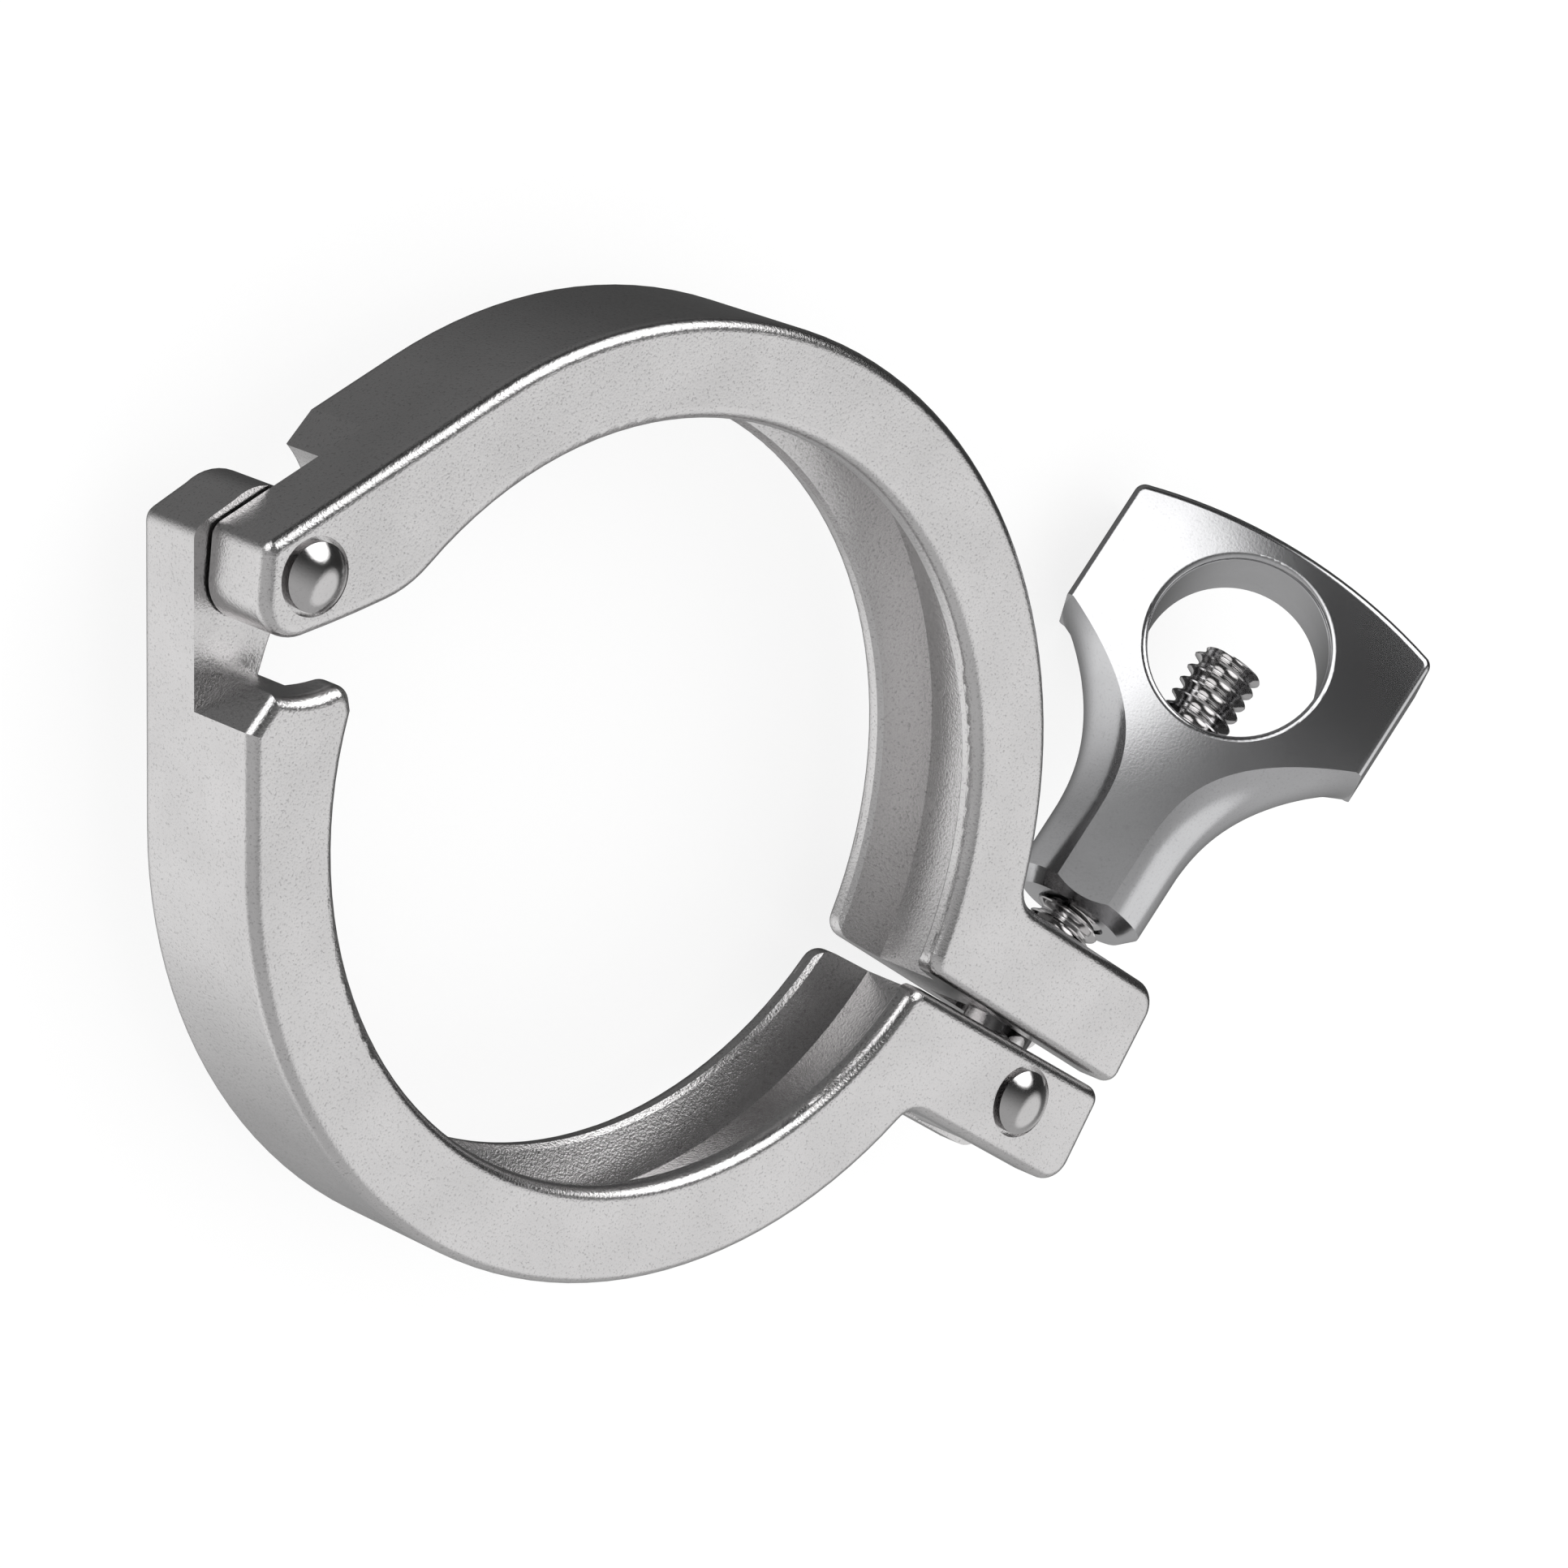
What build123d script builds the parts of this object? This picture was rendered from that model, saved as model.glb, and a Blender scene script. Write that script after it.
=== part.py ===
"""Sanitary hinged clamp for a 2.5 inch ferrule pair, squeezed shut and empty.

Millimetres, +Z up. The clamp lies on its back: the bore axis of the lower
half is the Z axis, the origin is that axis at half the clamp's width, +X runs
from the hinge pin to the bolt lugs and +Y points to the upper half. Both
halves are the same casting turned over, apart from how their bolt lugs lean.
"""
import os
from math import asin, atan2, cos, degrees, radians, sin, sqrt, tan

from build123d import *

os.makedirs("parts", exist_ok=True)

# ---- sizes of the castings -------------------------------------------------
clamp_width = 14.0          # side face to side face, along the bore
ring_outer_radius = 42.9    # outside of the ring
ring_depth = 8.1            # outside of the ring to the lips
groove_depth = 4.4          # lips to the flat bottom of the V groove
lip_land = 2.0              # each lip, side face to groove
groove_flank_angle = 20.0   # each flank, as on a ferrule's rim
edge_round = 1.1            # rounding along the side faces
lip_bevel = 0.35            # bevel where a flank meets its lip

# ---- hinge -----------------------------------------------------------------
pin_past_ring = 0.2         # hinge pin axis, outside the ring's radius
upper_pin_extra = 0.5       # the upper casting is that much longer to its pin
hinge_pin_radius = 2.0
hinge_fit_clearance = 0.05  # radial, lug on pin
hinge_lap_gap = 0.3         # between the faces of the two lapped lugs
lower_arm_angle = 121.0     # direction of the straight outer side of each arm
upper_arm_angle = 118.2
lug_corner_reach = 3.0      # outer corner of the lug, past the pin along that side
lug_end_angle = 55.0        # direction of the lug's short end face
lug_end_length = 4.2
lug_nose_angle = 97.0       # top of the rounded nose, about the pin
lug_nose_reach = 5.3
lug_inside_angle = 60.0     # end of the nose, about the pin
lug_inside_reach = 4.75
lug_root_angle = 187.0      # where the inner side runs into the lip
lug_root_blend = 10.0
lug_corner_round = 1.3
facet_height = 3.5          # short upright facet on the shoulder's outer side
shoulder_radius = 9.4       # clearance round the other half's lug
shoulder_start = -81.0      # where that arc starts, about the pin
shoulder_end = -37.5        # where it reaches the lip side, about the pin
shoulder_lip_angle = 192.8  # where the shoulder's end meets the lip
shoulder_round = 1.4

# ---- bolt lugs -------------------------------------------------------------
lug_face_inset = 1.2        # point on the lug's parting face, outside the lips
lug_face_drop = 7.45        # that point below the hinge pin's level
lug_thickness = 9.0
lower_lug_lean = -2.4       # degrees, drooping outwards
upper_lug_lean = -5.6
lower_lug_length = 24.2     # from that point to the end face
upper_lug_length = 24.5
lug_end_round = 2.4         # end corner away from the parting face
lug_tip_round = 1.3         # end corner at the parting face
lug_root_round = 2.4
parting_round = 1.6         # lip corner at the parting face
lug_gap = 1.5               # between the two lugs with no ferrule in the clamp
slot_side_clearance = 0.5   # each side of the bolt's shank or eye
slot_end_clearance = 1.5    # behind the eye, and behind the shank in the upper lug

# ---- pins ------------------------------------------------------------------
pin_head_radius = 2.75
pin_head_rim = 0.35         # straight rim of the head above the side face
pin_dome_height = 1.0
pin_head_seat = 0.7         # depth of the head below the side face
counterbore_radius = 3.15
press_gap = 0.01            # pressed pins, drawn just clear of their holes
bolt_pin_radius = 2.0
bolt_pin_reach = 8.1        # bolt pin axis, outside the ring's radius
bolt_pin_drop = 4.75        # below the lower lug's parting face
tail_round = 0.4

# ---- swing bolt and wing nut ----------------------------------------------
bolt_radius = 3.1
bolt_below_hole = 0.3       # flat end of the bolt, short of the nut's hole axis
bolt_end_chamfer = 0.5
eye_radius = 4.8
eye_thickness = 6.2
eye_round = 0.8
eye_fit_clearance = 0.06
bolt_lean = 12.1            # degrees outwards from +Y
nut_turn = 48.3             # wing plane about the bolt, from the clamp's plane
nut_hole_radius = 7.75
nut_hole_height = 43.2      # hole axis from the pin axis
nut_length = 26.3           # underside to hole axis
nut_foot_bevel = 1.2
nut_fit_clearance = 0.08
nut_neck_radius = 6.0
nut_thickness = 10.9        # face to face
nut_wing_side = 7.0         # hole to the wings' ends
nut_wing_low = 3.9          # where the wing ends start, below the hole axis
nut_wing_high = 7.8         # where they stop, above it
nut_crown = 10.1            # top of the curved back, above the hole axis
nut_flare_length = 15.9     # over which the neck opens into the wings
nut_flare_side = 2.3        # how late the neck's sides open
nut_flare_flat = 3.0        # how late its flat faces open
nut_flare_steps = 7
nut_edge_round = 0.6
nut_corner_round = 1.0
nut_hole_round = 0.6

half_width = clamp_width / 2
lip_radius = ring_outer_radius - ring_depth
groove_root_radius = lip_radius + groove_depth
half_mouth = half_width - lip_land
lap_face = hinge_lap_gap / 2
touch = 1e-4                # two heights closer than this are the same
hinge = (-ring_outer_radius - pin_past_ring, 0.0)
upper_hinge = (hinge[0] - upper_pin_extra, 0.0)
parting = (lip_radius + lug_face_inset, -lug_face_drop)
bolt_pin = (ring_outer_radius + bolt_pin_reach, -lug_face_drop - bolt_pin_drop)

# with no ferrule in the clamp the upper half closes past round, until the lugs nearly meet
pin_to_parting = parting[0] - upper_hinge[0]
over_close = degrees(atan2(lug_face_drop, pin_to_parting)
                     + asin((lug_face_drop - lug_gap) / sqrt(pin_to_parting ** 2 + lug_face_drop ** 2)))


def polar(centre, radius, angle):
    """Point at an angle in degrees about a centre."""
    return (centre[0] + radius * cos(radians(angle)), centre[1] + radius * sin(radians(angle)))


def where_line_meets_ring(point, angle, radius):
    """Where a line through a point crosses a circle about the bore, on the lug side."""
    ux, uy = cos(radians(angle)), sin(radians(angle))
    along = point[0] * ux + point[1] * uy
    off = point[0] * uy - point[1] * ux
    run = sqrt(radius ** 2 - off ** 2) - along
    return (point[0] + run * ux, point[1] + run * uy)


def angle_of(point):
    return degrees(atan2(point[1], point[0]))


def corner_at(sketch, point):
    """The corner of a sketch that is nearest to a point."""
    return sketch.vertices().sort_by_distance((point[0], point[1], 0))[0]


shoulder_foot_angle = shoulder_lip_angle + 4    # on the lip, well inside the shoulder


def arm_tangent(arm_angle):
    """Where the arm's straight outer side leaves the ring."""
    return polar((0, 0), ring_outer_radius, arm_angle + 90)


def shoulder_corners(pin, arm_angle):
    """Foot and top of the upright facet, and the shoulder's tip, for a hinge pin."""
    top = polar(pin, shoulder_radius, shoulder_start)
    start = arm_tangent(arm_angle)
    run = (top[1] - facet_height - start[1]) / sin(radians(arm_angle))
    return polar(start, run, arm_angle), top, polar(pin, shoulder_radius, shoulder_end)


def hinge_lug_sketch(pin, arm_angle):
    """Hinge lug as seen along the bore, down to where it is well inside the arm."""
    start = arm_tangent(arm_angle)
    pin_run = (pin[0] - start[0]) * cos(radians(arm_angle)) + (pin[1] - start[1]) * sin(radians(arm_angle))
    lug_corner = polar(start, pin_run + lug_corner_reach, arm_angle)
    lug_end = polar(lug_corner, lug_end_length, lug_end_angle)
    facet_foot = shoulder_corners(pin, arm_angle)[0]
    with BuildSketch() as outline:
        with BuildLine():
            inner_root = polar((0, 0), lip_radius, lug_root_angle)
            lip_below = polar((0, 0), lip_radius, shoulder_foot_angle)
            Line(facet_foot, lug_corner)
            Line(lug_corner, lug_end)
            over = ThreePointArc(lug_end, polar(pin, lug_nose_reach, lug_nose_angle),
                                 polar(pin, lug_inside_reach, lug_inside_angle))
            TangentArc(over @ 1, inner_root, tangent=over % 1)
            ThreePointArc(inner_root, polar((0, 0), lip_radius, (lug_root_angle + shoulder_foot_angle) / 2), lip_below)
            Line(lip_below, facet_foot)
        make_face()
        fillet(corner_at(outline, lug_corner), radius=lug_corner_round)
        fillet(corner_at(outline, inner_root), radius=lug_root_blend)
    return outline.sketch


def half_sketch(pin, arm_angle, lean, length):
    """Ring, shoulder and bolt lug as seen along the bore, in the lower half's place."""
    facet_foot, facet_top, shoulder_tip = shoulder_corners(pin, arm_angle)
    tangent_point = arm_tangent(arm_angle)
    mouth = polar(parting, length, lean)
    under_end = polar(mouth, lug_thickness, lean - 90)
    inner = where_line_meets_ring(parting, lean, lip_radius)
    root = where_line_meets_ring(under_end, lean, ring_outer_radius)
    with BuildSketch() as outline:
        with BuildLine():
            ThreePointArc(root, polar((0, 0), ring_outer_radius, (angle_of(root) + arm_angle - 270) / 2), tangent_point)
            Line(tangent_point, facet_foot)
            Line(facet_foot, facet_top)
            ThreePointArc(facet_top, polar(pin, shoulder_radius, (shoulder_start + shoulder_end) / 2), shoulder_tip)
            lip_start = polar((0, 0), lip_radius, shoulder_lip_angle)
            Line(shoulder_tip, lip_start)
            ThreePointArc(lip_start, polar((0, 0), lip_radius, (shoulder_lip_angle - 360 + angle_of(inner)) / 2), inner)
            Line(inner, mouth)
            Line(mouth, under_end)
            Line(under_end, root)
        make_face()
        fillet(corner_at(outline, mouth), radius=lug_tip_round)
        fillet(corner_at(outline, under_end), radius=lug_end_round)
        fillet(corner_at(outline, root), radius=lug_root_round)
        fillet(corner_at(outline, inner), radius=parting_round)
        fillet(corner_at(outline, shoulder_tip), radius=shoulder_round)
    return outline.sketch


# half section of the V groove, turned about the bore to cut it
with BuildSketch(Plane.XZ) as groove_section:
    with BuildLine():
        slope = tan(radians(groove_flank_angle))
        half_root = half_mouth - groove_depth * slope
        flank_end = (lip_radius + lip_bevel, half_mouth - lip_bevel * slope)
        bevel_end = (lip_radius - lip_bevel, half_mouth + 2 * lip_bevel)
        Polyline((bevel_end[0], -bevel_end[1]), (flank_end[0], -flank_end[1]), (groove_root_radius, -half_root),
                 (groove_root_radius, half_root), flank_end, bevel_end, close=True)
    make_face()
with BuildPart() as groove_cutter:
    add(groove_section.sketch)
    revolve(axis=Axis.Z)


def side_edges(solid):
    """Edges lying in the two side faces."""
    flat = [e for e in solid.edges() if abs(abs(e.center().Z) - half_width) < touch
            and abs(abs((e @ 0).Z) - half_width) < touch and abs(abs((e @ 1).Z) - half_width) < touch]
    return ShapeList(flat)


slot_half = eye_thickness / 2 + slot_side_clearance
eye_slot_x = bolt_pin[0] - eye_radius - slot_end_clearance
shank_slot_x = bolt_pin[0] - bolt_radius / cos(radians(bolt_lean)) - slot_end_clearance
head_seat_z = half_width - pin_head_seat
beyond = parting[0] + 2 * upper_lug_length      # well past the end of either lug

with BuildPart() as lower_half:
    with BuildSketch(Plane.XY.offset(-half_width)):
        add(half_sketch(hinge, lower_arm_angle, lower_lug_lean, lower_lug_length))
    extrude(amount=clamp_width)
    with BuildSketch(Plane.XY.offset(-half_width)):
        add(hinge_lug_sketch(hinge, lower_arm_angle))
    extrude(amount=half_width - lap_face)
    fillet(side_edges(lower_half), radius=edge_round)
    add(groove_cutter.part, mode=Mode.SUBTRACT)
    # fork for the bolt's eye
    with BuildSketch(Plane.XZ.offset(beyond)):
        with Locations(((eye_slot_x + beyond) / 2, 0)):
            Rectangle(beyond - eye_slot_x, 2 * slot_half)
    extrude(amount=-beyond, mode=Mode.SUBTRACT)
    # pressed fit for both pins
    with BuildSketch(Plane.XY.offset(-half_width)):
        with Locations(hinge):
            Circle(hinge_pin_radius + press_gap)
        with Locations(bolt_pin):
            Circle(bolt_pin_radius + press_gap)
    extrude(amount=clamp_width, mode=Mode.SUBTRACT)
    with BuildSketch(Plane.XY.offset(head_seat_z)):
        with Locations(bolt_pin):
            Circle(counterbore_radius)
    extrude(amount=pin_head_seat, mode=Mode.SUBTRACT)

# the upper half is turned over about X, then swung shut about the hinge pin
with BuildPart() as upper_casting:
    with BuildSketch(Plane.XY.offset(-half_width)):
        add(half_sketch(upper_hinge, upper_arm_angle, upper_lug_lean, upper_lug_length))
    extrude(amount=clamp_width)
    with BuildSketch(Plane.XY.offset(-half_width)):
        add(hinge_lug_sketch(upper_hinge, upper_arm_angle))
    extrude(amount=half_width - lap_face)
    fillet(side_edges(upper_casting), radius=edge_round)
    add(groove_cutter.part, mode=Mode.SUBTRACT)
    with BuildSketch(Plane.XY.offset(-half_width)):
        with Locations(upper_hinge):
            Circle(hinge_pin_radius + hinge_fit_clearance)
    extrude(amount=clamp_width, mode=Mode.SUBTRACT)
    with BuildSketch(Plane.XY.offset(-half_width)):
        with Locations(upper_hinge):
            Circle(counterbore_radius)
    extrude(amount=pin_head_seat, mode=Mode.SUBTRACT)

hinge_axis = Axis((hinge[0], hinge[1], 0), (0, 0, 1))
turned_over = upper_casting.part.rotate(Axis.X, 180).translate((upper_pin_extra, 0, 0))
with BuildPart() as upper_half:
    add(turned_over.rotate(hinge_axis, -over_close))
    # slot that the bolt swings into
    with BuildSketch(Plane.XZ):
        with Locations(((shank_slot_x + beyond) / 2, 0)):
            Rectangle(beyond - shank_slot_x, 2 * (bolt_radius + slot_side_clearance))
    extrude(amount=2 * lug_thickness, both=True, mode=Mode.SUBTRACT)


def rivet_profile(shank_radius):
    """Half section of a domed rivet, in the plane through its axis."""
    rim_top = half_width + pin_head_rim
    with BuildLine() as half_section:
        Polyline((0, -half_width), (shank_radius - tail_round, -half_width), (shank_radius, -half_width + tail_round),
                 (shank_radius, head_seat_z), (pin_head_radius, head_seat_z), (pin_head_radius, rim_top))
        dome_radius = (pin_head_radius ** 2 + pin_dome_height ** 2) / (2 * pin_dome_height)
        half_turn = asin(pin_head_radius / dome_radius) / 2
        ThreePointArc((pin_head_radius, rim_top),
                      (dome_radius * sin(half_turn), rim_top + pin_dome_height - dome_radius * (1 - cos(half_turn))),
                      (0, rim_top + pin_dome_height))
        Line((0, rim_top + pin_dome_height), (0, -half_width))
    return half_section.line


with BuildPart() as hinge_pin:
    pin_plane = Plane(origin=(hinge[0], hinge[1], 0), x_dir=(1, 0, 0), z_dir=(0, -1, 0))
    with BuildSketch(pin_plane):
        with BuildLine():
            add(rivet_profile(hinge_pin_radius))
        make_face()
    revolve(axis=hinge_axis)

with BuildPart() as swing_bolt_pin:
    pin_plane = Plane(origin=(bolt_pin[0], bolt_pin[1], 0), x_dir=(1, 0, 0), z_dir=(0, -1, 0))
    with BuildSketch(pin_plane):
        with BuildLine():
            add(rivet_profile(bolt_pin_radius))
        make_face()
    revolve(axis=Axis((bolt_pin[0], bolt_pin[1], 0), (0, 0, 1)))

# the bolt leans in the clamp's plane; the nut's wings are turned about the bolt
lean, turn = radians(bolt_lean), radians(nut_turn)
along = Vector(sin(lean), cos(lean), 0)
across = Vector(cos(lean), -sin(lean), 0)
up = Vector(0, 0, 1)
wing_way = across * cos(turn) + up * sin(turn)
face_way = up * cos(turn) - across * sin(turn)
pin_centre = Vector(bolt_pin[0], bolt_pin[1], 0)
bolt_length = nut_hole_height - bolt_below_hole

with BuildPart() as swing_bolt:
    with BuildSketch(Plane(origin=pin_centre - up * (eye_thickness / 2), x_dir=across, z_dir=up)):
        Circle(eye_radius)
    extrude(amount=eye_thickness)
    fillet(swing_bolt.edges(), radius=eye_round)
    with BuildSketch(Plane(origin=pin_centre, x_dir=across, z_dir=up)):
        with BuildLine():
            Polyline((0, 0), (bolt_radius, 0), (bolt_radius, bolt_length - bolt_end_chamfer),
                     (bolt_radius - bolt_end_chamfer, bolt_length), (0, bolt_length), close=True)
        make_face()
    revolve(axis=Axis(pin_centre, along))
    with BuildSketch(Plane(origin=pin_centre - up * eye_thickness, x_dir=across, z_dir=up)):
        Circle(bolt_pin_radius + eye_fit_clearance)
    extrude(amount=2 * eye_thickness, mode=Mode.SUBTRACT)

half_plate = nut_thickness / 2
neck_flat = sqrt(nut_neck_radius ** 2 - half_plate ** 2)
nut_foot = nut_hole_height - nut_length
nut_wing_half = nut_hole_radius + nut_wing_side
nut_wing_base = nut_hole_height - nut_wing_low
nut_wing_corner = nut_hole_height + nut_wing_high
nut_top = nut_hole_height + nut_crown
nut_flare_start = nut_wing_base - nut_flare_length
bolt_axis = Axis(pin_centre, along)


def nut_section(height, flat, side):
    """Slice across the nut: flat back and front, bulging sides."""
    with BuildSketch(Plane(origin=pin_centre + along * height, x_dir=wing_way, z_dir=along)) as slice_sketch:
        with BuildLine():
            Line((-flat, half_plate), (flat, half_plate))
            ThreePointArc((flat, half_plate), (side, 0), (flat, -half_plate))
            Line((flat, -half_plate), (-flat, -half_plate))
            ThreePointArc((-flat, -half_plate), (-side, 0), (-flat, half_plate))
        make_face()
    return slice_sketch.sketch


nut_plane = Plane(origin=pin_centre, x_dir=wing_way, z_dir=face_way)
with BuildPart() as wing_block:
    with BuildSketch(nut_plane):
        with BuildLine():
            Polyline((-nut_wing_half, nut_wing_corner), (-nut_wing_half, nut_wing_base),
                     (nut_wing_half, nut_wing_base), (nut_wing_half, nut_wing_corner))
            ThreePointArc((nut_wing_half, nut_wing_corner), (0, nut_top), (-nut_wing_half, nut_wing_corner))
        make_face()
    extrude(amount=half_plate, both=True)
    wing_ends = wing_block.edges().filter_by(Axis((0, 0, 0), face_way)).group_by(bolt_axis)
    fillet(wing_ends[-1], radius=nut_corner_round)
    fillet(wing_block.edges().group_by(bolt_axis)[1:], radius=nut_edge_round)

with BuildPart() as wing_nut:
    extrude(nut_section(nut_foot, neck_flat, nut_neck_radius).face(), amount=nut_flare_start - nut_foot, dir=along)
    # turned bevel round the foot
    with BuildSketch(Plane(origin=pin_centre + along * nut_foot, x_dir=across, z_dir=up)):
        with BuildLine():
            Polyline((nut_neck_radius - nut_foot_bevel, 0), (nut_neck_radius + nut_foot_bevel, 0),
                     (nut_neck_radius + nut_foot_bevel, 2 * nut_foot_bevel), close=True)
        make_face()
    revolve(axis=bolt_axis, mode=Mode.SUBTRACT)
    slices = []
    for i in range(nut_flare_steps + 1):
        share = i / nut_flare_steps
        slices.append(nut_section(nut_flare_start + share * nut_flare_length,
                                  neck_flat + (nut_wing_half - nut_edge_round - neck_flat) * share ** nut_flare_flat,
                                  nut_neck_radius + (nut_wing_half - nut_neck_radius) * share ** nut_flare_side).face())
    loft(slices)
    add(wing_block.part)
    with BuildSketch(nut_plane.offset(-nut_thickness)):
        with Locations((0, nut_hole_height)):
            Circle(nut_hole_radius)
    extrude(amount=2 * nut_thickness, mode=Mode.SUBTRACT)
    rims = [e for e in wing_nut.edges().filter_by(GeomType.CIRCLE) if abs(e.radius - nut_hole_radius) < touch]
    fillet(rims, radius=nut_hole_round)
    with BuildSketch(Plane(origin=pin_centre + along * nut_foot, x_dir=wing_way, z_dir=along)):
        Circle(bolt_radius + nut_fit_clearance)
    extrude(amount=nut_length, mode=Mode.SUBTRACT)

for name, piece in (("lower_half", lower_half), ("upper_half", upper_half), ("hinge_pin", hinge_pin),
                    ("swing_bolt", swing_bolt), ("swing_bolt_pin", swing_bolt_pin), ("wing_nut", wing_nut)):
    print(name, piece.part.is_valid, len(piece.part.solids()), round(piece.part.volume, 1), piece.part.bounding_box())
    piece.part.label = name
    export_step(piece.part, "parts/" + name + ".step")
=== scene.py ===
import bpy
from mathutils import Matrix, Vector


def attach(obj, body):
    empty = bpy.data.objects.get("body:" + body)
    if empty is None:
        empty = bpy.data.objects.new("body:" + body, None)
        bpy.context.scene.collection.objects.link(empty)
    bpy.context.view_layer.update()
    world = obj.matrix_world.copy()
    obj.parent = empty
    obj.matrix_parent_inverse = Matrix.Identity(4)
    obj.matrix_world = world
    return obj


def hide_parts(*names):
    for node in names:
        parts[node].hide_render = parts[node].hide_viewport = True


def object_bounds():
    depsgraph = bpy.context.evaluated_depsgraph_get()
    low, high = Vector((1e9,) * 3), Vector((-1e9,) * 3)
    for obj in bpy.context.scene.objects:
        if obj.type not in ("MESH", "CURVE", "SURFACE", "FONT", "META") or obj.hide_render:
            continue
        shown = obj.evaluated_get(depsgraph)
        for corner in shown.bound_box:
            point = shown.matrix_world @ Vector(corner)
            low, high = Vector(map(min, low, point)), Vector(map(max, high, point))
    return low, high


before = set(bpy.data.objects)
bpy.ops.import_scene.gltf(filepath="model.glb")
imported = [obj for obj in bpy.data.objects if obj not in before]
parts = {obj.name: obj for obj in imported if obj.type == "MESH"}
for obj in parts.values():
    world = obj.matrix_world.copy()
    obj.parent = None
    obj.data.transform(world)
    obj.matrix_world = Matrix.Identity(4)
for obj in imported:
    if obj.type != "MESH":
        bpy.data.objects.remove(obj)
import bpy
import bmesh
from math import cos, pi, radians, sin
from mathutils import Matrix, Vector

cad_low, cad_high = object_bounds()
scene = bpy.context.scene
mm = 0.001

# ---- Camera, floor and studio light -------------------------------------------
# A long lens looks down on the front faces from the hinge side. The clamp lies
# on a white floor, and steel shows a large lamp in front of it, a strip lamp
# above it, a small one beside the nut and a dark ceiling between them.
camera_right = Vector((0.63700, 0.41268, 0.65110))
camera_up = Vector((-0.33001, 0.90931, -0.25347))
camera_place = Vector((-380.78, -27.62, 408.66)) * mm
camera_back = camera_right.cross(camera_up)
camera_data = bpy.data.cameras.new("camera")
camera = bpy.data.objects.new("camera", camera_data)
scene.collection.objects.link(camera)
turn = Matrix((camera_right, camera_up, camera_back)).transposed().to_4x4()
camera.matrix_world = Matrix.Translation(camera_place) @ turn
camera_data.sensor_width = 36.0
camera_data.lens = 161.07
camera_data.clip_start = 0.01
camera_data.clip_end = 20.0
scene.camera = camera
scene.view_settings.view_transform = "Standard"

# centre of each lamp as steel sees it, the cosines of its edge, and its brightness
lamps = (((0.78, -0.16, 0.61), 0.80, 0.93, 0.98),
         ((0.10, 0.80, 0.59), 0.88, 0.95, 2.6),
         ((-0.90, 0.36, 0.25), 0.89, 0.95, 1.9))
# brightness of the floor and of the ceiling from the low end to the high end of +Y
floor_light, floor_dark = 1.05, 0.17
floor_dark_to_right = 0.45
ceiling_light, ceiling_dark = 0.55, 0.04
paper_white, paper_glow = 0.3, 0.78
plain_light = 0.9


def node(tree, kind, links=None, **values):
    """A node with its settings, its unlinked inputs by position and its links by position."""
    new = tree.nodes.new(kind)
    for key, value in values.items():
        if key == "inputs":
            for place, number in value.items():
                new.inputs[place].default_value = number
        else:
            setattr(new, key, value)
    for place, socket in (links or {}).items():
        tree.links.new(socket, new.inputs[place])
    return new


def ramp(tree, socket, low, high, to_low=0.0, to_high=1.0):
    """Smooth step of a value from one range to another."""
    return node(tree, "ShaderNodeMapRange", {0: socket}, interpolation_type="SMOOTHSTEP",
                inputs={1: low, 2: high, 3: to_low, 4: to_high}).outputs[0]


def maths(tree, operation, first, second):
    """One sum of two values, each a number or a socket."""
    values = {i: v for i, v in enumerate((first, second)) if isinstance(v, (int, float))}
    links = {i: v for i, v in enumerate((first, second)) if not isinstance(v, (int, float))}
    return node(tree, "ShaderNodeMath", links, operation=operation, inputs=values).outputs[0]


def studio(tree, direction):
    """Brightness of the studio in a direction."""
    axes = node(tree, "ShaderNodeSeparateXYZ", {0: direction}).outputs
    below = ramp(tree, axes[1], -0.55, 0.28, floor_light, floor_dark)
    right_of_floor = ramp(tree, axes[0], -0.2, 0.5, 1.0, floor_dark_to_right)
    below = maths(tree, "MULTIPLY", below, right_of_floor)
    above = ramp(tree, axes[1], -0.6, 0.5, ceiling_light, ceiling_dark)
    is_below = ramp(tree, axes[2], -0.35, -0.05, 1.0, 0.0)
    light = node(tree, "ShaderNodeMix", {0: is_below, 2: above, 3: below}).outputs[0]
    for centre, edge, core, brightness in lamps:
        away = node(tree, "ShaderNodeVectorMath", {0: direction}, operation="DOT_PRODUCT",
                    inputs={1: Vector(centre).normalized()}).outputs["Value"]
        light = maths(tree, "MAXIMUM", light, ramp(tree, away, edge, core, 0.0, brightness))
    return light


def new_material(name):
    """A material with nothing but its output node."""
    mat = bpy.data.materials.new(name)
    mat.use_nodes = True
    mat.node_tree.nodes.clear()
    return mat, mat.node_tree, mat.node_tree.nodes.new("ShaderNodeOutputMaterial")


floor_mesh = bpy.data.meshes.new("floor")
floor_size = 3.0
floor_gap = 0.0002
floor_z = cad_low[2] - floor_gap
corners = [(x * floor_size, y * floor_size, floor_z) for x, y in ((-1, -1), (1, -1), (1, 1), (-1, 1))]
floor_mesh.from_pydata(corners, [], [(0, 1, 2, 3)])
floor = bpy.data.objects.new("floor", floor_mesh)
scene.collection.objects.link(floor)

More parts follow.
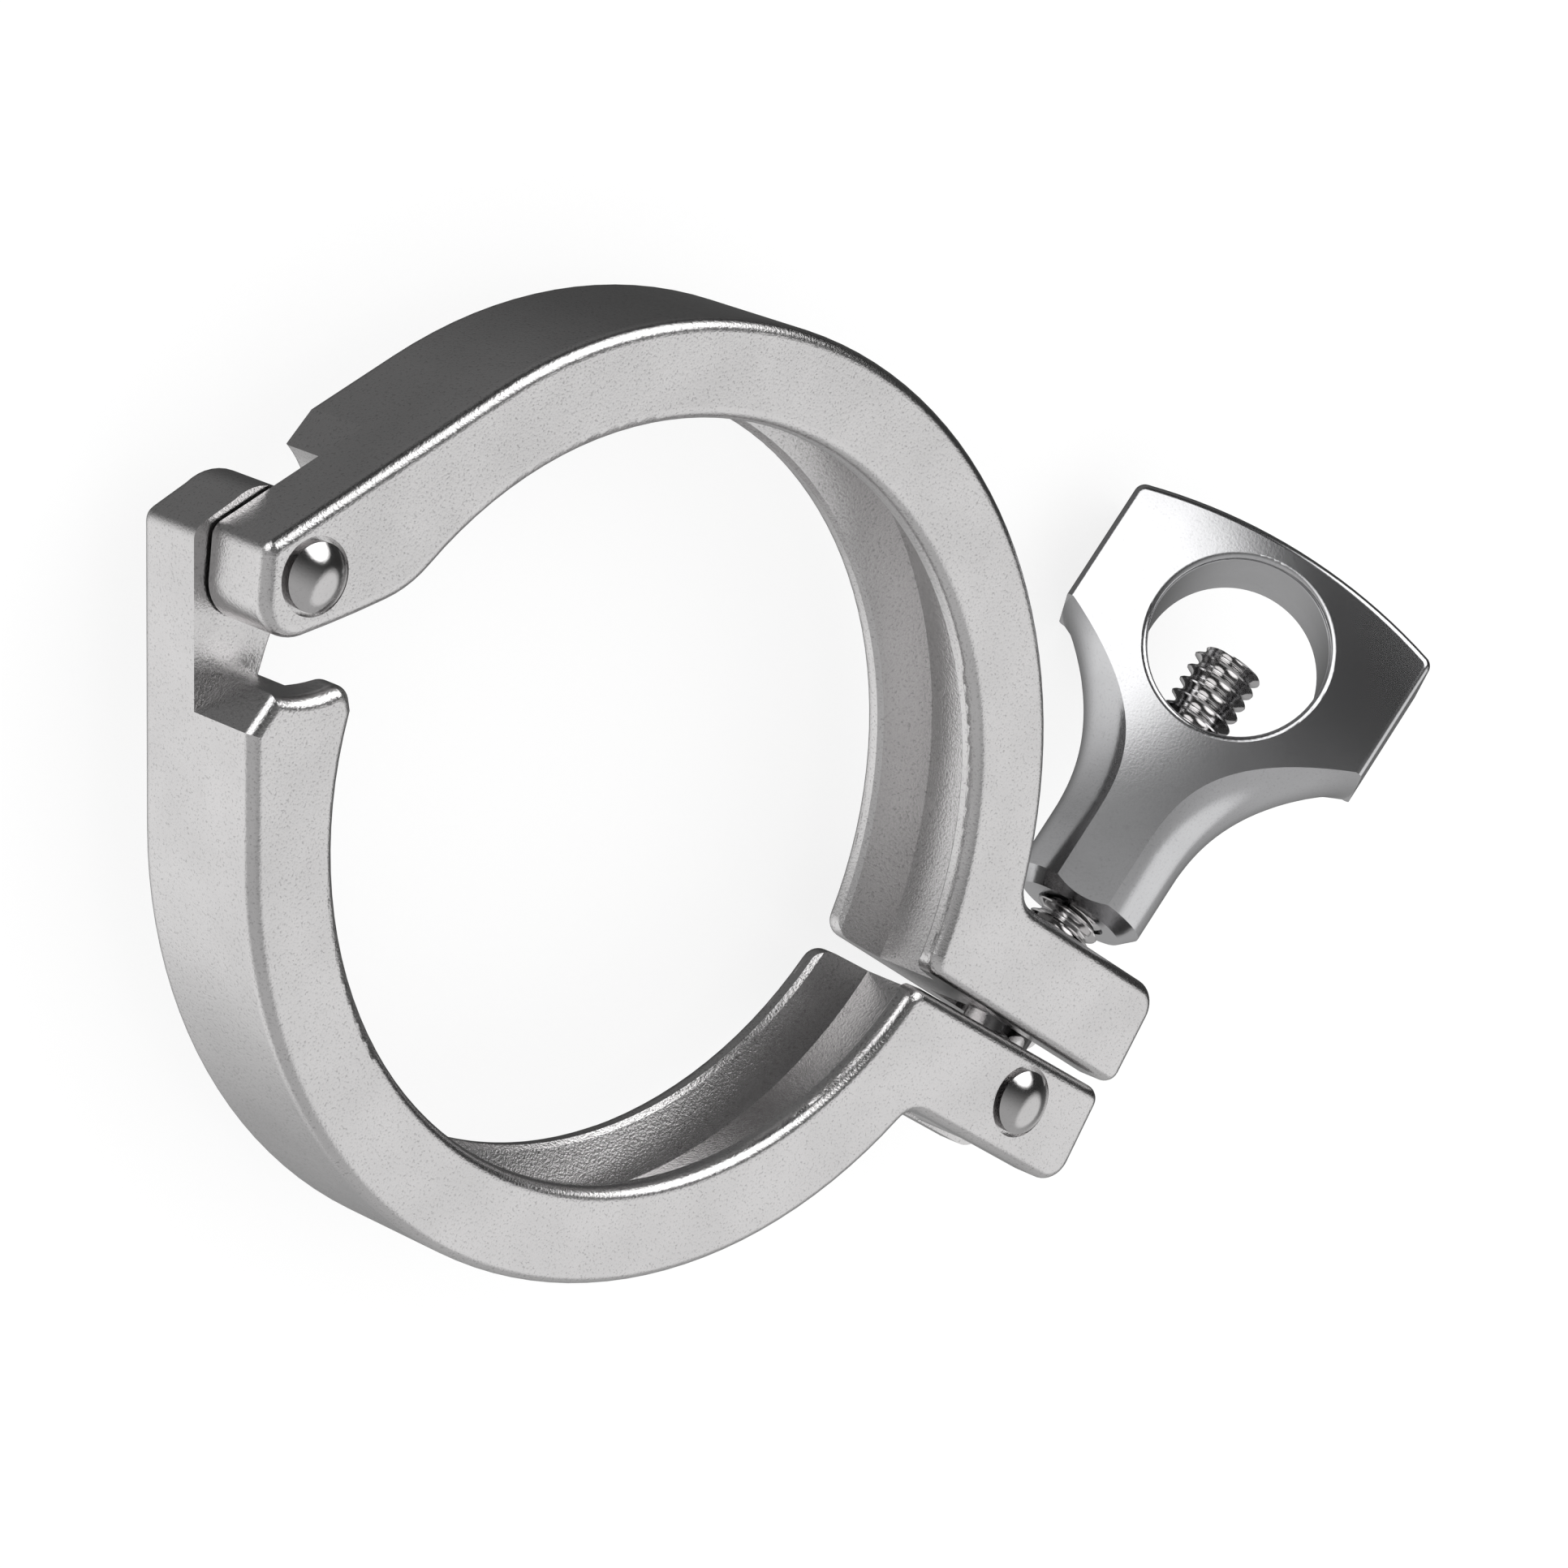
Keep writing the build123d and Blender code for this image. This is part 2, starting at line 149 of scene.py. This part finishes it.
# white to the camera with a soft shadow, and the studio's light to steel
floor_mat, tree, out = new_material("floor_white")
path = node(tree, "ShaderNodeLightPath")
paper = node(tree, "ShaderNodeBsdfDiffuse", inputs={0: (paper_white, paper_white, paper_white, 1)})
glow = node(tree, "ShaderNodeEmission", inputs={0: (1, 1, 1, 1), 1: paper_glow})
lit = node(tree, "ShaderNodeAddShader", {0: paper.outputs[0], 1: glow.outputs[0]})
incoming = node(tree, "ShaderNodeNewGeometry").outputs["Incoming"]
onward = node(tree, "ShaderNodeVectorMath", {0: incoming}, operation="SCALE", inputs={3: -1.0}).outputs[0]
seen = node(tree, "ShaderNodeEmission", {1: studio(tree, onward)})
to_camera = node(tree, "ShaderNodeMixShader",
                 {0: path.outputs["Is Camera Ray"], 1: paper.outputs[0], 2: lit.outputs[0]})
to_steel = node(tree, "ShaderNodeMixShader",
                {0: path.outputs["Is Glossy Ray"], 1: to_camera.outputs[0], 2: seen.outputs[0]})
tree.links.new(to_steel.outputs[0], out.inputs["Surface"])
floor_mesh.materials.append(floor_mat)

world = bpy.data.worlds.new("studio")
scene.world = world
world.use_nodes = True
tree = world.node_tree
tree.nodes.clear()
path = node(tree, "ShaderNodeLightPath")
lamp_light = studio(tree, node(tree, "ShaderNodeTexCoord").outputs["Generated"])
plain = node(tree, "ShaderNodeMix", {0: path.outputs["Is Glossy Ray"], 3: lamp_light},
             inputs={2: plain_light}).outputs[0]
white = node(tree, "ShaderNodeMix", {0: path.outputs["Is Camera Ray"], 2: plain}, inputs={3: 1.0}).outputs[0]
background = node(tree, "ShaderNodeBackground", {1: white}, inputs={0: (1, 1, 1, 1)})
node(tree, "ShaderNodeOutputWorld", {0: background.outputs[0]})


grain_size = 0.22 * mm
mottle_scale = 160.0


def steel(name, tint, roughness, grain, speck):
    """Steel with a fine grain; returns the material and the bump node of its grain."""
    mat, tree, out = new_material(name)
    place = node(tree, "ShaderNodeTexCoord").outputs["Object"]
    fine = node(tree, "ShaderNodeTexNoise", {0: place}, inputs={2: 1 / grain_size, 3: 3.0, 4: 0.6}).outputs[0]
    broad = node(tree, "ShaderNodeTexNoise", {0: place}, inputs={2: mottle_scale, 3: 3.0}).outputs[0]
    specks = ramp(tree, fine, 0.30, 0.46, 1.0 - speck, 1.0)
    mottle = ramp(tree, broad, 0.25, 0.75, 0.95, 1.03)
    shade = maths(tree, "MULTIPLY", specks, mottle)
    colour = node(tree, "ShaderNodeVectorMath", {3: shade}, operation="SCALE", inputs={0: tint}).outputs[0]
    bump = node(tree, "ShaderNodeBump", {"Height": fine})
    bump.inputs["Strength"].default_value = 1.0
    bump.inputs["Distance"].default_value = grain
    metal = node(tree, "ShaderNodeBsdfPrincipled")
    metal.inputs["Metallic"].default_value = 1.0
    metal.inputs["Roughness"].default_value = roughness
    tree.links.new(colour, metal.inputs["Base Color"])
    tree.links.new(bump.outputs[0], metal.inputs["Normal"])
    tree.links.new(metal.outputs[0], out.inputs["Surface"])
    return mat, bump


def dress(name, mat):
    """Put one material on a node of the frame."""
    parts[name].data.materials.clear()
    parts[name].data.materials.append(mat)


# ---- Lower and upper half ------------------------------------------------------
# Investment cast halves, tumbled until the edges are round: light satin faces
# with a fine dark speckle.
cast = steel("cast_stainless", (0.64, 0.63, 0.63), 0.19, 0.000032, 0.30)[0]
dress("lower_half", cast)
dress("upper_half", cast)

# ---- Hinge pin and swing bolt pin ----------------------------------------------
# Turned rivets with smoother, polished domed heads.
pin_steel = steel("pin_stainless", (0.56, 0.55, 0.55), 0.13, 0.000004, 0.08)[0]
dress("hinge_pin", pin_steel)
dress("swing_bolt_pin", pin_steel)

# ---- Swing bolt -----------------------------------------------------------------
# The eye and the plain shank with a rolled quarter inch thread above them: the
# rows of the mesh follow the helix and stop at the bolt's flat end.
bolt_steel = steel("bolt_stainless", (0.64, 0.63, 0.63), 0.12, 0.000003, 0.05)[0]
bolt_pin = Vector((51.0, -12.2, 0.0)) * mm
bolt_lean = radians(12.1)
bolt_up = Vector((sin(bolt_lean), cos(bolt_lean), 0.0))
bolt_side = Vector((cos(bolt_lean), -sin(bolt_lean), 0.0))
bolt_front = Vector((0.0, 0.0, 1.0))
thread_low, thread_high = 14.0 * mm, 42.9 * mm
thread_pitch = 1.27 * mm
crest_radius, root_radius = 3.09 * mm, 2.36 * mm
end_chamfer = 0.25 * mm
crest_flat, flank_width, root_roundness = 0.08, 0.87, 1.4
thread_sides, rows_per_pitch = 48, 10


def thread_radius(angle, height):
    """Radius of the thread at an angle and a height: sharp crests, round roots."""
    share = (height / thread_pitch - angle / (2 * pi)) % 1.0
    from_crest = abs(share - 0.5) * 2
    rise = max(0.0, min(1.0, (from_crest - crest_flat) / flank_width))
    radius = crest_radius - (crest_radius - root_radius) * sin(rise * pi / 2) ** root_roundness
    return min(radius, crest_radius - end_chamfer + max(0.0, thread_high - height))


def thread_mesh(bm):
    """Add the threaded part to a bmesh."""
    turns = int((thread_high - thread_low) / thread_pitch) + 2
    columns = []
    for i in range(thread_sides):
        angle = 2 * pi * i / thread_sides
        column = []
        for j in range(turns * rows_per_pitch + 1):
            height = thread_low + ((j / rows_per_pitch) - 1 + angle / (2 * pi)) * thread_pitch
            height = max(thread_low, min(thread_high, height))
            radius = thread_radius(angle, height)
            point = bolt_pin + bolt_up * height + (bolt_side * cos(angle) + bolt_front * sin(angle)) * radius
            column.append(bm.verts.new(point))
        columns.append(column)
    last = turns * rows_per_pitch
    for i in range(thread_sides):
        this, following = columns[i], columns[(i + 1) % thread_sides]
        shift = rows_per_pitch if i == thread_sides - 1 else 0
        for j in range(last):
            a, b = j, j + 1
            c, d = min(j + 1 - shift, last), min(j - shift, last)
            if d < 0:
                c, d = max(c, 0), max(d, 0)
            corners = []
            for v in (this[a], this[b], following[c], following[d]):
                if v not in corners:
                    corners.append(v)
            if len(corners) > 2:
                bm.faces.new(corners)
    for end in (0, last):
        bm.faces.new([column[end] for column in columns])


bolt_mesh = parts["swing_bolt"].data.copy()
bm = bmesh.new()
bm.from_mesh(bolt_mesh)
bmesh.ops.bisect_plane(bm, geom=bm.verts[:] + bm.edges[:] + bm.faces[:],
                       plane_co=bolt_pin + bolt_up * thread_low, plane_no=bolt_up, clear_outer=True)
thread_mesh(bm)
bmesh.ops.remove_doubles(bm, verts=bm.verts[:], dist=1e-7)
bmesh.ops.recalc_face_normals(bm, faces=bm.faces[:])
bm.to_mesh(bolt_mesh)
bm.free()
bolt_mesh.materials.clear()
bolt_mesh.materials.append(bolt_steel)
threaded_bolt = bpy.data.objects.new("threaded_bolt", bolt_mesh)
scene.collection.objects.link(threaded_bolt)
for face in bolt_mesh.polygons:
    face.use_smooth = True
bolt_mesh.set_sharp_from_angle(angle=radians(35))
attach(threaded_bolt, "bolt")
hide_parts("swing_bolt")

# ---- Wing nut --------------------------------------------------------------------
# Cast in one piece with its finger hole and polished to a smooth satin. The
# polishing leaves each flat face slightly crowned around the hole.
nut_steel, grain_bump = steel("nut_stainless", (0.60, 0.60, 0.61), 0.19, 0.000005, 0.10)
across_wing = Vector((0.6505, -0.1394, 0.7466))
hole_height = 43.2 * mm
hole_centre = bolt_pin + bolt_up * hole_height
wing_crown = 6.0
tree = nut_steel.node_tree
place = node(tree, "ShaderNodeTexCoord").outputs["Object"]
from_hole = node(tree, "ShaderNodeVectorMath", {0: place}, operation="SUBTRACT",
                 inputs={1: hole_centre}).outputs[0]
squares = []
for direction in (across_wing, bolt_up):
    distance = node(tree, "ShaderNodeVectorMath", {0: from_hole}, operation="DOT_PRODUCT",
                    inputs={1: direction}).outputs["Value"]
    squares.append(maths(tree, "MULTIPLY", distance, distance))
crown = maths(tree, "MULTIPLY", maths(tree, "ADD", *squares), -wing_crown)
crown_bump = node(tree, "ShaderNodeBump", {"Height": crown})
crown_bump.inputs["Strength"].default_value = 1.0
crown_bump.inputs["Distance"].default_value = 1.0
tree.links.new(crown_bump.outputs[0], grain_bump.inputs["Normal"])
dress("wing_nut", nut_steel)
